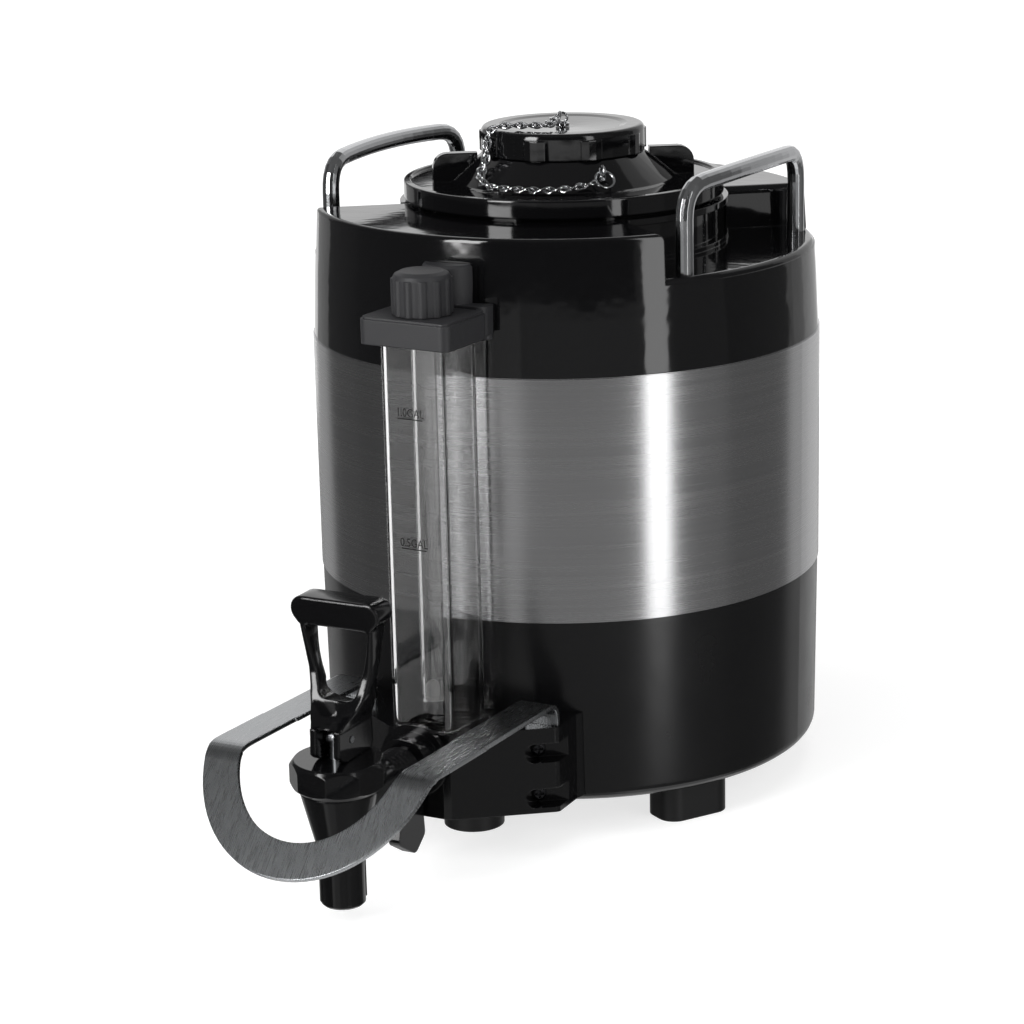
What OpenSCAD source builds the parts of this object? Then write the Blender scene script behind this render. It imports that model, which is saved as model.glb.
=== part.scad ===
// Insulated coffee urn: steel vacuum vessel in a plastic and steel shell, with a lever
// faucet, a sight gauge, a cup guard, two bail handles, a lift-off lid and a tethered cap.
// Millimetres. +Z is up and the faucet points to -Y. The modules are drawn round the body's
// axis, and place() moves them so that the origin is on the floor in the middle of the whole.

/* [Shell] */
// Outside diameter of the steel band
body_d = 240; // [216:1:270]
// Height of the body's underside over the floor
foot_h = 17; // [12:1:30]
// Height of the lower housing
housing_h = 86; // [80:1:120]
// Height of the steel band
band_h = 112; // [80:1:180]
// Height of the top collar
collar_h = 61; // [57:1:80]
// Wall of the plastic mouldings
wall = 3; // [2.4:0.1:3.6]
// Thickness of the steel band
band_t = 1.2; // [0.8:0.1:1.6]
// Width of the dark seams above and below the band
seam = 0.4; // [0.2:0.1:0.8]
// Depth of the two hand recesses in the collar
recess_h = 20; // [14:1:26]
// Angle of each hand recess in front of its handle's middle, in degrees
recess_a = 38.5; // [34:0.5:42]
// Angle of each hand recess behind its handle's middle, in degrees
recess_b = 40; // [34:0.5:42]
// Angle of the collar and handles from the faucet's plane, in degrees
collar_turn = -3.6; // [-6:0.1:6]

/* [Vessel] */
// Distance of the vessel's inside from the body's side
vessel_gap = 19; // [17:1:30]
// Sheet of the vessel and its jacket
sheet = 1.2; // [0.8:0.1:1.6]
// Radius of the vessel's mouth
mouth_r = 62; // [50:1:63]
// Height of the vessel's floor over the housing's underside
vessel_lift = 67; // [62:1:75]

/* [Handles] */
// Diameter of the handle rod
rod_d = 8; // [6:0.5:9]
// Distance of each handle from the body's side
leg_off = 27; // [25:0.5:28]
// Distance of each leg from the nearest point of the side
leg_in = 10.8; // [10.6:0.1:16]
// Height of the rod's centre over the recess floor
bar_h = 38; // [32:0.5:60]
// Bend radius of the rod
bend_r = 14; // [9:0.5:20]
// Bow of the bar away from the axis
bar_bow = 5; // [0:0.5:8]
// Rise of the bar's middle over its ends
bar_rise = 2; // [0:0.5:5]

/* [Lid] */
// Radius of the lid's flange
lid_r = 75; // [74:0.5:76]
// Thickness of the lid's flange
lid_t = 8.7; // [7:0.1:12]
// Height of the lid's cone
cone_h = 12.6; // [10:0.2:16]
// Angle of the lid's grips from +X, in degrees
grip_a = 32; // [0:1:60]
// Radius of the cap
cap_r = 38.2; // [36:0.2:39]
// Height of the cap
cap_h = 12.2; // [12:0.2:18]
// Number of grip ribs on the cap
cap_ribs = 9; // [6:1:16]
// Length of the fill tube under the funnel
tube_l = 167; // [60:1:170]

/* [Gauge] */
// Distance of the gauge from the front of the body
gauge_off = 21; // [19:0.5:24]
// Width of the clear shield
shield_w = 32; // [28:0.5:34]
// Wall of the clear shield
shield_t = 2; // [1.5:0.1:2.5]
// Outside radius of the sight glass
glass_r = 5.2; // [5:0.1:6.2]
// Radius of the knob
knob_r = 13.5; // [11:0.5:15]
// Height of the knob
knob_h = 19; // [14:0.5:24]
// Turn of the bracket and the shield about the sight glass, in degrees
gauge_turn = -4; // [-6:0.5:6]

/* [Faucet] */
// Distance of the faucet's axis from the front of the body
faucet_off = 107; // [100:1:112]
// Height of the faucet shank over the floor
shank_z = 49; // [47:0.5:51]
// Outside radius of the shank
shank_r = 9.5; // [8.5:0.1:10]
// Bore radius of the shank
shank_bore = 5.5; // [4:0.1:6]
// Outside radius of the spout
spout_r = 9.6; // [9:0.1:11]
// Bore radius of the spout
spout_bore = 7; // [5:0.1:7.5]
// Height of the spout's mouth over the floor
spout_z = 6.5; // [3:0.5:8]
// Distance across the bonnet's corners
bonnet_d = 42; // [40:0.5:46]
// Height of the lever's top over its pin
lever_h = 60; // [56:1:80]
// Width of the lever's top bar
lever_w = 42.4; // [38:0.2:50]
// Depth of the lever
lever_t = 12; // [9:0.5:14]
// Lean of the lever towards the body at rest, in degrees
lever_lean = 7; // [0:1:12]
// Rise of the stem for each radian of lever travel
cam_rise = 3; // [2:0.1:3.5]

/* [Guard] */
// Outside half width of the cup guard
guard_w = 54.5; // [52:0.5:54.6]
// Width of the guard's strip
guard_b = 16.3; // [13:0.1:18]
// Thickness of the guard's strip
guard_t = 2; // [1.6:0.1:2.5]
// Distance of the guard's bend from the front of the body
guard_off = 122; // [118:1:130]
// Height of the guard's bend over the floor
guard_z = 77; // [74:0.5:80]
// Fall of the guard's loop, in degrees
guard_tilt = 44.7; // [35:0.1:50]

/* [Hidden] */
$fn = 96;
gap = 0.3;     // between curved faces of different bodies
fit = 0.05;    // radial clearance of a running fit
eps = 0.01;

R = body_d/2;
z_bot = foot_h;
z_low = z_bot + housing_h;
z_up = z_low + band_h;
z_top = z_up + collar_h;
z_shelf = z_top - recess_h;
vessel_r = R - vessel_gap;     // inside radius of the vessel
leg_x = R - leg_off;
leg_w = 2*round(10*sqrt((R - leg_in)*(R - leg_in) - leg_x*leg_x))/10;   // between one handle's legs
lip_h = 8;
hs_top = R - 0.5;              // housing radius at its rim
hs_bot = R - 1.5;              // housing radius over its bottom fillet
hs_fil = 6;
cl_bot = R - 0.6;              // collar radius at the band
cl_top = R - 4;                // collar radius under its rim
rim_r = 2;
neck_r = 72;                   // collar neck in the recesses
deck_r = 77;                   // lip of the deck round the lid
bore_r = 69;                   // opening of the collar

function arc(cx, cy, r, a0, a1, n = 6) =
    [for (i = [0:n]) let (a = a0 + (a1 - a0)*i/n) [cx + r*cos(a), cy + r*sin(a)]];

module ring(r1, r0, z0, z1) {
    translate([0, 0, z0]) difference() {
        cylinder(r = r1, h = z1 - z0);
        translate([0, 0, -1]) cylinder(r = r0, h = z1 - z0 + 2);
    }
}
// sector of a disc, from angle a0 to a1 (under 180 degrees), radius r
module wedge(a0, a1, r, z0, z1) {
    n = 8;
    translate([0, 0, z0]) linear_extrude(z1 - z0)
        polygon(concat([[0, 0]], [for (i = [0:n]) let (a = a0 + (a1 - a0)*i/n)
            [r/cos((a1 - a0)/n/2)*cos(a), r/cos((a1 - a0)/n/2)*sin(a)]]));
}
module rod_y(r, y0, y1) { translate([0, y0, 0]) rotate([-90, 0, 0]) cylinder(r = r, h = y1 - y0); }
module rod_x(r, x0, x1) { translate([x0, 0, 0]) rotate([0, 90, 0]) cylinder(r = r, h = x1 - x0); }
module torus(R1, r1, n = 48) { rotate_extrude($fn = n) translate([R1, 0]) circle(r = r1, $fn = 20); }
// rounded bar: w by d in plan, corner radius r
module pad(w, d, h, r) {
    for (x = [-1, 1], y = [-1, 1]) translate([x*(w/2 - r), y*(d/2 - r), 0]) cylinder(r = r, h = h);
    translate([-w/2 + r, -d/2, 0]) cube([w - 2*r, d, h]);
    translate([-w/2, -d/2 + r, 0]) cube([w, d - 2*r, h]);
}
// tube swept along points p with n sides
function unit(v) = v/norm(v);
function dirs(p) = [for (i = [0:len(p) - 1])
    unit(p[min(i + 1, len(p) - 1)] - p[max(i - 1, 0)])];
function frames(p, t, i = 0, acc = []) = i == len(p) ? acc :
    let (ref = i == 0 ? (abs(t[0][2]) < 0.9 ? [0, 0, 1] : [1, 0, 0]) : acc[i - 1],
         u = unit(ref - t[i]*(ref*t[i])))
    frames(p, t, i + 1, concat(acc, [u]));
module sweep(p, r, n = 8) {
    t = dirs(p);
    u = frames(p, t);
    m = len(p);
    pts = [for (i = [0:m - 1], j = [0:n - 1])
        let (v = cross(t[i], u[i]), a = 360*j/n) p[i] + r*(cos(a)*u[i] + sin(a)*v)];
    faces = concat(
        [for (i = [0:m - 2], j = [0:n - 1]) let (k = (j + 1) % n)
            each [[i*n + j, i*n + k, (i + 1)*n + k], [i*n + j, (i + 1)*n + k, (i + 1)*n + j]]],
        [[for (j = [0:n - 1]) n - 1 - j]],
        [[for (j = [0:n - 1]) (m - 1)*n + j]]);
    polyhedron(pts, [for (f = faces) [for (k = [len(f) - 1:-1:0]) f[k]]]);
}

// ---------------------------------------------------------------- lower housing
module housing_outer(g = 0) {
    rotate_extrude($fn = 180) polygon(concat([[0, z_bot - g]],
        arc(hs_bot - hs_fil, z_bot + hs_fil, hs_fil + g, -90, 0, 6),
        [[hs_top + g, z_low - 2], [hs_top + g, z_low], [0, z_low]]));
}
ledge_r = R - 32;              // opening over the base plate
plate_r = ledge_r + 8;
jack_r = vessel_r + 10.5;      // outside radius of the jacket
z_vf = z_bot + vessel_lift;    // vessel floor
z_jf = z_vf - 12;              // jacket underside
rest_r = R - 26;               // ring that carries the jacket
module base_housing() {
    color("#1b1b1d") difference() {
        union() {
            difference() {
                housing_outer();
                rotate_extrude($fn = 180) polygon([[0, z_bot + wall + 2], [hs_bot - wall - 4, z_bot + wall + 2],
                    [hs_bot - wall, z_bot + wall + 6], [hs_top - wall, z_low - 2], [hs_top - wall, z_low + 1],
                    [0, z_low + 1]]);
            }
            // inner lip that centres the band
            ring(R - band_t - 0.2, R - band_t - 0.2 - wall, z_low - 5, z_low + lip_h);
            // ring and ribs that carry the vessel
            ring(rest_r + wall/2, rest_r - wall/2, z_bot + wall, z_jf);
            for (a = [0:60:300]) rotate([0, 0, a]) translate([rest_r, -1.2, z_bot + wall])
                cube([hs_bot - wall/2 - rest_r, 2.4, z_jf - z_bot - wall - 14]);
            for (a = [0, 120, 240]) rotate([0, 0, a + 30]) translate([ledge_r - 3, 0, z_bot + 2.4])
                cylinder(r = 5, h = 12);
        }
        translate([0, 0, z_bot - 1]) cylinder(r = plate_r, h = 3.4);
        translate([0, 0, z_bot - 1]) cylinder(r = ledge_r - 10, h = 20);
        for (a = [0, 120, 240]) rotate([0, 0, a + 30]) translate([ledge_r - 3, 0, z_bot])
            cylinder(r = 1.6, h = 11);
        // way of the outlet pipe and the shank
        translate([0, 0, shank_z]) rod_y(shank_r + 1.5, -R - 2, -R + 10);
        translate([0, 0, shank_z]) rod_y(shank_r + 1.5, -rest_r - 4, -rest_r + 6);
        at_block_screws() translate([0, 0, -4]) cylinder(r = 2 + fit, h = 30);
    }
}
module base_plate() {
    color("#222224") difference() {
        translate([0, 0, z_bot + 0.2]) cylinder(r = plate_r - gap, h = 2.2 - eps);
        for (a = [0, 120, 240]) rotate([0, 0, a + 30]) translate([ledge_r - 3, 0, z_bot - 1])
            cylinder(r = 1.9, h = 6);
        for (a = [0, 120, 240]) rotate([0, 0, a + 30]) translate([ledge_r - 3, 0, z_bot - 1])
            cylinder(r = 3.6, h = 2.2);
        for (x = [-40:10:40]) translate([x - 1.5, -24, z_bot - 1]) cube([3, 48, 6]);
    }
}
module plate_screws() {
    color("#8d9094") for (a = [0, 120, 240]) rotate([0, 0, a + 30]) translate([ledge_r - 3, 0, z_bot]) {
        difference() {
            translate([0, 0, 0.2]) cylinder(r = 3.2, h = 1 - eps);
            translate([-2, -0.4, 0]) cube([4, 0.8, 0.7]);
            translate([-0.4, -2, 0]) cube([0.8, 4, 0.7]);
        }
        translate([0, 0, 1]) cylinder(r = 1.55, h = 9);
    }
}
module body_band() {
    color("#b9bcc0") {
        ring(R, R - band_t, z_low + seam, z_up - seam);
        // rolled edges that seat on the housing and the collar
        ring(R - 0.6, R - band_t, z_low + eps, z_low + 1);
        ring(R - 0.6, R - band_t, z_up - 1, z_up - eps);
    }
}

// ---------------------------------------------------------------- top collar
module collar_outer(g = 0) {
    rotate_extrude($fn = 180) polygon(concat([[0, z_up], [cl_bot + g, z_up], [R - 1.7 + g, z_up + 25]],
        arc(cl_top - rim_r + 0.3, z_top - rim_r, rim_r + g, 0, 90, 6), [[0, z_top + g]]));
}
// sectors of a ring where the recesses are, each wider by d degrees at both ends
module recesses(d, r0, r1, z0, z1) {
    intersection() {
        ring(r1, r0, z0, z1);
        for (k = [0, 1]) mirror([k, 0, 0]) wedge(-recess_a - d, recess_b + d, r1 + 20, z0 - 1, z1 + 1);
    }
}
// each wall of a recess, along +X with the recess on its -Y side
module at_walls() {
    for (k = [0, 1], m = [0, 1]) mirror([k, 0, 0]) mirror([0, m, 0]) rotate([0, 0, m == 0 ? recess_b : recess_a])
        children();
}
module top_collar() {
    e = 3.6;                                   // edge radius along the recess walls
    color("#161617") rotate([0, 0, collar_turn]) difference() {
        union() {
            difference() {
                collar_outer();
                translate([0, 0, z_up - 1]) cylinder(r = bore_r, h = collar_h + 2);
                // hollow under the recess floors, then the higher one under the decks
                translate([0, 0, z_up - 1]) cylinder(r = R - 1.7 - wall, h = z_shelf - wall - z_up + 1);
                intersection() {
                    ring(cl_top - wall - 1.5, deck_r + 1, z_up + 10, z_top - wall);
                    union() {
                        wedge(recess_b + 2.5, 180 - recess_b - 2.5, R + 20, z_up, z_top);
                        wedge(180 + recess_a + 2.5, 360 - recess_a - 2.5, R + 20, z_up, z_top);
                    }
                }
                // recesses with a rounded outer edge of their floors
                intersection() {
                    rotate_extrude($fn = 180) polygon(concat([[deck_r, z_top + 2], [deck_r, z_shelf]],
                        arc(cl_top - 2, z_shelf - 3, 3, 90, 10, 5), [[R + 10, z_shelf - 3.2], [R + 10, z_top + 2]]));
                    for (k = [0, 1]) mirror([k, 0, 0]) wedge(-recess_a, recess_b, R + 20, z_shelf - 5, z_top + 3);
                }
                recesses(1, neck_r, deck_r + 1, z_shelf, z_top - wall);
                // rounded edges of the recess walls
                at_walls() translate([0, 0, z_top - e]) difference() {
                        translate([neck_r, -eps, 0]) cube([R - neck_r + 5, e, e + 1]);
                        translate([0, e, 0]) rod_x(e, 0, R + 10);
                    }
            }
            ring(R - band_t - 0.2, R - band_t - 0.2 - wall, z_up - lip_h, z_up + 5);
            // step at the foot of the neck and fillets along the recess walls
            recesses(0, neck_r - 1, deck_r, z_shelf - 1, z_shelf + 2.2);
            at_walls() translate([neck_r, -2.2, z_shelf - 0.5]) difference() {
                    cube([cl_top - 3.5 - neck_r, 2.4, 2.7]);
                    translate([0, 0, 2.7]) rod_x(2.2, -1, R);
                }
            // pads that take the handle studs
            at_legs() translate([0, 0, z_shelf - wall - 2]) cylinder(r = 7, h = 3);
        }
        at_legs() translate([0, 0, z_shelf - 12]) cylinder(r = rod_d/2 - 1 + fit, h = 20);
        at_legs() translate([0, 0, z_shelf - 0.5]) cylinder(r = rod_d/2 + fit, h = 3);
    }
}
module at_legs(s = [1, -1]) {
    for (k = s, m = [-1, 1]) translate([k*leg_x, m*leg_w/2, 0]) children();
}

// ---------------------------------------------------------------- handles
// centre line of one handle: legs, bent corners and a bar that bows outwards and up
function bar_at(u) = [leg_x + bar_bow*(1 - u*u), u*leg_w/2, z_shelf + bar_h + bar_rise*(1 - u*u)];
function bend_at(m) = let (y = m*leg_w/2, z = z_shelf + bar_h)
    [for (i = [0:6]) let (t = i/6) (1 - t)*(1 - t)*[leg_x, y, z - bend_r] + 2*t*(1 - t)*[leg_x, y, z]
        + t*t*bar_at(m*(1 - 2*bend_r/leg_w))];
module handle(k) {
    u = 1 - 2*bend_r/leg_w;
    color("#d8dade") rotate([0, 0, collar_turn]) mirror([k < 0 ? 1 : 0, 0, 0]) {
        sweep(concat([[leg_x, -leg_w/2, z_shelf - 0.5]], bend_at(-1), [for (i = [1:9]) bar_at(u*(i/5 - 1))],
            rev(bend_at(1)), [[leg_x, leg_w/2, z_shelf - 0.5]]), rod_d/2, 16);
        for (m = [-1, 1]) translate([leg_x, m*leg_w/2, z_shelf - wall - 8]) cylinder(r = rod_d/2 - 1, h = wall + 9, $fn = 40);
    }
}
module handle_right() { handle(1); }
module handle_left() { handle(-1); }
module handle_nuts() {
    color("#9a9da1") rotate([0, 0, collar_turn]) at_legs() translate([0, 0, z_shelf - wall - 2 - 3.6])
        difference() {
            cylinder(r = 5.6, h = 3.6 - eps, $fn = 6);
            translate([0, 0, -1]) cylinder(r = rod_d/2 - 1 + fit, h = 6);
        }
}

// ---------------------------------------------------------------- vessel
z_lip = z_top - 4;             // rim of the vessel's mouth
module vessel_liner() {
    ri = vessel_r; zs = z_shelf - 20;
    function prof(d) = concat(
        [[0, z_vf - d]], arc(ri - 12, z_vf + 12, 12 + d, -90, 0, 4),
        [[ri + d, zs - 8], [ri - 5 + d*0.7, zs], [mouth_r + 12, zs + 6 + d], [mouth_r + 3 + d*0.8, zs + 10 + d*0.6],
         [mouth_r + d, zs + 15]]);
    color("#a9acb0") difference() {
        union() {
            rotate_extrude($fn = 150) polygon(concat(prof(sheet), [[mouth_r + sheet, z_lip], [0, z_lip]]));
            ring(bore_r - 0.6, mouth_r, z_lip - sheet, z_lip);
        }
        rotate_extrude($fn = 150) polygon(concat(prof(0), [[mouth_r, z_lip + 1], [0, z_lip + 1]]));
        translate([0, -vessel_r + 31, z_vf - 5]) cylinder(r = 8 + fit, h = 10);
    }
}
module vessel_jacket() {
    ri = jack_r - sheet; zs = z_shelf - 12; nk = mouth_r + 4.5;
    function prof(d) = concat(
        [[0, z_jf + sheet - d]], arc(ri - 8, z_jf + sheet + 8, 8 + d, -90, 0, 4),
        [[ri + d, zs - 12], [ri - 6 + d*0.7, zs - 3], [nk + 10, zs + 3 + d], [nk + d, zs + 7.5]]);
    color("#8f9296") difference() {
        rotate_extrude($fn = 150) polygon(concat(prof(sheet), [[nk + sheet, z_lip - sheet - eps], [0, z_lip - sheet - eps]]));
        rotate_extrude($fn = 150) polygon(concat(prof(0), [[nk, z_lip + 1], [0, z_lip + 1]]));
        translate([0, -vessel_r + 31, z_jf - 5]) cylinder(r = 8 + fit, h = 10);
    }
}
module mouth_gasket() {
    color("#5b5d60") ring(bore_r - 0.6, mouth_r + 0.5, z_lip + eps, z_lip + 2);
}
pipe_y = -vessel_r + 31;
pipe_end = -R + 12;
module outlet_pipe() {
    color("#a4a7ab") difference() {
        union() {
            translate([0, pipe_y, shank_z]) cylinder(r = 8, h = z_vf - shank_z);
            translate([0, pipe_y, shank_z]) sphere(r = 8);
            translate([0, 0, shank_z]) rod_y(8, pipe_end + eps, pipe_y);
        }
        translate([0, pipe_y, shank_z]) cylinder(r = shank_bore, h = 60);
        translate([0, pipe_y, shank_z]) sphere(r = shank_bore);
        translate([0, 0, shank_z]) rod_y(shank_bore, pipe_end - 1, pipe_y);
    }
}

// ---------------------------------------------------------------- feet
// pad w long at angle a, moved by d towards the larger angle
module foot_pad(a, w, d) {
    color("#1d1d1f") rotate([0, 0, a]) translate([R - 20, d, 0]) rotate([0, 0, 90]) difference() {
        pad(w, 22, z_bot - eps, 8);
        translate([0, 0, -eps]) pad(w - 12, 10, 2, 4.9);
    }
}
module foot_right() { foot_pad(-33, 35, 1.5); }
module foot_left() { foot_pad(213, 35, -1.5); }
module foot_rear() { foot_pad(90, 38, 0); }
module foot_front() {
    color("#1d1d1f") difference() {
        translate([0, -R + 14, 0]) cylinder(r = 14, h = blk_z0 - eps);
        housing_outer(0.1);
        translate([0, -R + 14, -eps]) cylinder(r = 8, h = 2);
    }
}

// ---------------------------------------------------------------- faucet block
gauge_y = -R - gauge_off;
blk_z0 = z_bot + 4;
blk_z1 = shank_z + 12;
blk_w = 55;                    // half width
blk_p = [17, gauge_y - 14.3];       // front corner
blk_q = [blk_w, -R - 8];                        // rear corner of the slanted face
blk_len = norm(blk_q - blk_p);
blk_ang = atan2(blk_q[1] - blk_p[1], blk_q[0] - blk_p[0]);
slot_h = 9;
slot_z = [blk_z0 + 7, blk_z1 - 11.7];
// local frame on the slanted face: x along it, z out of it
module at_face() {
    for (m = [0, 1]) mirror([m, 0, 0]) translate([blk_p[0], blk_p[1], 0]) rotate([0, 0, blk_ang])
        rotate([90, 0, 0]) children();
}
module at_block_screws() {
    at_face() for (z = slot_z) translate([blk_len - 8, z, -8 - 16]) children();
}
module block_plan() {
    f = 5;
    polygon([[-blk_p[0] + f, blk_p[1] - 1.6], [blk_p[0] - f, blk_p[1] - 1.6], [blk_p[0] - 1.5, blk_p[1] - 0.9],
        blk_p + [0.4, 0.3], blk_q - [1.2, 0.8], blk_q + [0, 0.8], [blk_w, -sqrt(R*R - blk_w*blk_w) - 3],
        [blk_w + 1.6, -sqrt(R*R - blk_w*blk_w) + 3],
        [blk_w, -R + 40], [-blk_w, -R + 40], [-blk_w - 1.6, -sqrt(R*R - blk_w*blk_w) + 3],
        [-blk_w, -sqrt(R*R - blk_w*blk_w) - 3], [-blk_q[0], blk_q[1] + 0.8], [-blk_q[0] + 1.2, blk_q[1] - 0.8],
        [-blk_p[0] - 0.4, blk_p[1] + 0.3], [-blk_p[0] + 1.5, blk_p[1] - 0.9]]);
}
tang = [10, 5];               // width and depth of the guard's tangs
module faucet_block() {
    color("#19191a") difference() {
        translate([0, 0, blk_z0]) linear_extrude(blk_z1 - blk_z0) block_plan();
        housing_outer(0.1);
        translate([0, 0, shank_z]) rod_y(shank_r + fit, gauge_y - 30, -R + 20);
        // screw slots, open to the rear edge
        at_face() for (z = slot_z) {
            translate([blk_len - 8, z - slot_h/2, -8]) cube([30, slot_h, 12]);
            translate([blk_len - 10.5, z, -8]) cylinder(r = slot_h/2, h = 12);
        }
        at_block_screws() cylinder(r = 2 + fit, h = 20);
        // bore of the gauge's fitting
        translate([0, gauge_y, shank_z + 2]) cylinder(r = 5 + fit, h = 20);
        // pockets of the guard's tangs
        for (m = [-1, 1]) translate([m*(guard_w - guard_b/2) - tang[0]/2 - 0.2, leg_y - 0.2, blk_z1 - tang[1] - 0.3])
            cube([tang[0] + 0.4, guard_t + 0.4, tang[1] + 2]);
    }
}
module block_screws() {
    color("#77797d") at_block_screws() difference() {
        union() {
            translate([0, 0, 0.5]) cylinder(r = 2, h = 15.5 + eps);
            translate([0, 0, 16]) cylinder(r = 3.4, h = 1.6);
            translate([0, 0, 17.6]) cylinder(r1 = 3.4, r2 = 2.2, h = 0.7);
        }
        translate([-2.1, -0.45, 17]) cube([4.2, 0.9, 3]);
        translate([-0.45, -2.1, 17]) cube([0.9, 4.2, 3]);
    }
}

// ---------------------------------------------------------------- cup guard
guard_y = -R - guard_off;
arm_drop = 2.3;                // fall of the arms towards the body, degrees
leg_y = -R - 7.2;              // front face of the guard's rear legs
loop_b = 8.5;                  // the loop's ends are this much longer than half a circle
shift_y = round(5*(guard_off + (guard_w + 0.4)*cos(guard_tilt)))/10;
function guard_line() =        // centre line in (y, z), from the tangs to the loop's nose
    let (t = guard_t/2, ya = leg_y + t, rr = 7, rf = 14,
         zr = guard_z - t - (ya - rr - guard_y)*tan(arm_drop))
    concat([[ya, blk_z1 - tang[1]]], arc(ya - rr, zr - rr, rr, 0, 90 - arm_drop, 5),
        arc(guard_y + rf*tan((guard_tilt + arm_drop)/2)*0.83, guard_z - t - rf - 0.4, rf, 90 - arm_drop, 90 + guard_tilt, 6),
        [[guard_y - 70*cos(guard_tilt), guard_z - 0.8 - t - 70*sin(guard_tilt)]]);
function side(p, d) = [for (i = [0:len(p) - 1]) let (a = p[max(i - 1, 0)], b = p[min(i + 1, len(p) - 1)],
    v = unit(b - a)) p[i] + d*[-v[1], v[0]]];
function rev(p) = [for (i = [len(p) - 1:-1:0]) p[i]];
function half_ellipse(a, b, c, n = 40) = [for (i = [0:n]) let (t = 180*i/n) [a*cos(t), c - b*sin(t)]];
module loop_plan(a, b, c) { polygon(concat([[a, 30]], half_ellipse(a, b, c), [[-a, 30]])); }
module cup_guard() {
    t = guard_t/2;
    l = guard_line();
    color("#a6a8ab") difference() {
        intersection() {
            rotate([90, 0, 90]) translate([0, 0, -guard_w - 5]) linear_extrude(2*guard_w + 10)
                polygon(concat(side(l, t), rev(side(l, -t))));
            union() {
                translate([-guard_w, guard_y, 0]) cube([2*guard_w, guard_off + 20, 200]);
                translate([0, guard_y, guard_z]) rotate([guard_tilt, 0, 0]) translate([0, 0, -40])
                    intersection() {
                        linear_extrude(80) loop_plan(guard_w + 0.4, guard_w + loop_b + 0.4, 8);
                        translate([-80, -100, 0]) cube([160, 100 + 30, 80]);
                    }
            }
        }
        w = guard_w - guard_b;
        translate([-w, guard_y, 0]) cube([2*w, guard_off + 20, 200]);
        translate([0, guard_y, guard_z]) rotate([guard_tilt, 0, 0]) translate([0, 0, -40])
            linear_extrude(80) loop_plan(w + 0.5, w + loop_b, 8);
        // the legs narrow to tangs inside the block
        for (m = [-1, 1]) translate([m*(guard_w - guard_b/2), 0, 0]) for (s = [-1, 1])
            translate([s*(tang[0]/2 + 20) - 20, leg_y - 5, 0]) cube([40, 20, blk_z1 + eps]);
    }
}

// ---------------------------------------------------------------- faucet
fy = -R - faucet_off;
cone_z = spout_z + 23;         // foot of the body's cone
bon_z0 = shank_z + 9.5;
bon_z1 = bon_z0 + 14;          // flat top of the bonnet
bon_c = bonnet_d/2 - 4;        // radius of the bonnet's lower rim
neck_f = bonnet_d/2 - 5.5;     // threaded neck of the faucet body
cup_r = neck_f - 2.4;          // inside of that neck
seat_z = cone_z + 11.5;
shank_out = fy + bonnet_d/2 + 0.8;  // front end of the shank
module faucet_shank() {
    color("#2a2a2c") difference() {
        union() {
            translate([0, 0, shank_z]) rod_y(shank_r, shank_out + eps, pipe_end);
            // thread crests in front of the block
            for (i = [0:5]) translate([0, nut_y0 - 15.5 - 2.8*i, shank_z]) rotate([90, 0, 0])
                rotate_extrude() polygon([[shank_r - 0.5, -0.9], [shank_r, -0.9], [shank_r + 0.8, 0], [shank_r, 0.9],
                    [shank_r - 0.5, 0.9]]);
        }
        translate([0, 0, shank_z]) rod_y(shank_bore, shank_out - 1, pipe_end + 1);
        // tee up to the sight gauge
        translate([0, gauge_y, shank_z]) cylinder(r = 2.5, h = 20);
    }
}
blk_f = blk_p[1] - 1.6;        // front face of the block
nut_y0 = blk_f - 2.2;          // rear face of the nut
module shank_washer() {
    color("#3a3a3c") translate([0, 0, shank_z]) difference() {
        rod_y(13.5, nut_y0 + 0.2, blk_f - eps);
        rod_y(shank_r + fit, nut_y0 - 3, blk_f + 3);
    }
}
module shank_nut() {
    color("#202022") translate([0, 0, shank_z]) difference() {
        union() {
            rod_y(16.5, nut_y0 - 2.6, nut_y0);
            rod_y(13, nut_y0 - 13, nut_y0 - 2);
            // wing that hangs under the shank
            rotate([90, 0, 90]) translate([0, 0, -2.75]) linear_extrude(5.5) polygon(concat(
                [[nut_y0 - 1, -9], [nut_y0 - 13, -9], [nut_y0 - 21.5, -26]],
                arc(nut_y0 - 18.8, -31, 4, 175, 225, 3), arc(nut_y0 - 8.5, -37.3, 4, 235, 300, 3), arc(nut_y0 - 2.2, -34, 3, 300, 360, 3),
                [[nut_y0 - 0.3, -24], [nut_y0 - 0.8, -15]]));
        }
        rod_y(shank_r + fit, nut_y0 - 30, nut_y0 + 5);
    }
}
module faucet_body() {
    color("#1c1c1e") translate([0, fy, 0]) difference() {
        union() {
            rotate_extrude() polygon(concat([[0, spout_z]], [[spout_r - 1, spout_z], [spout_r, spout_z + 1],
                [spout_r + 0.1, cone_z - 1], [spout_r + 0.5, cone_z + 1.5], [bon_c - 0.2, bon_z0 - 0.8],
                [bon_c - 0.2, bon_z0], [neck_f, bon_z0], [neck_f, bon_z0 + 7], [0, bon_z0 + 7]]));
            difference() {
                translate([0, 0, shank_z]) rod_y(12.2, 10, 31);
                translate([0, 0, bon_z0]) cylinder(r = bonnet_d/2 + 0.4, h = 20);
            }
            // ribs down the spout
            for (a = [0:90:270]) rotate([0, 0, a + 45]) translate([spout_r - 0.7, -1, spout_z + 2])
                cube([1.3, 2, cone_z - spout_z - 2]);
        }
        translate([0, 0, spout_z - 1]) cylinder(r = spout_bore, h = seat_z - spout_z + 2);
        rotate_extrude() polygon([[0, seat_z], [9.9, seat_z], [cup_r, bon_z0], [cup_r, bon_z0 + 8], [0, bon_z0 + 8]]);
        translate([0, 0, shank_z]) rod_y(shank_bore, 0, 40);
        translate([0, 0, shank_z]) rod_y(shank_r + fit, shank_out - fy, 40);
    }
}
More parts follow.
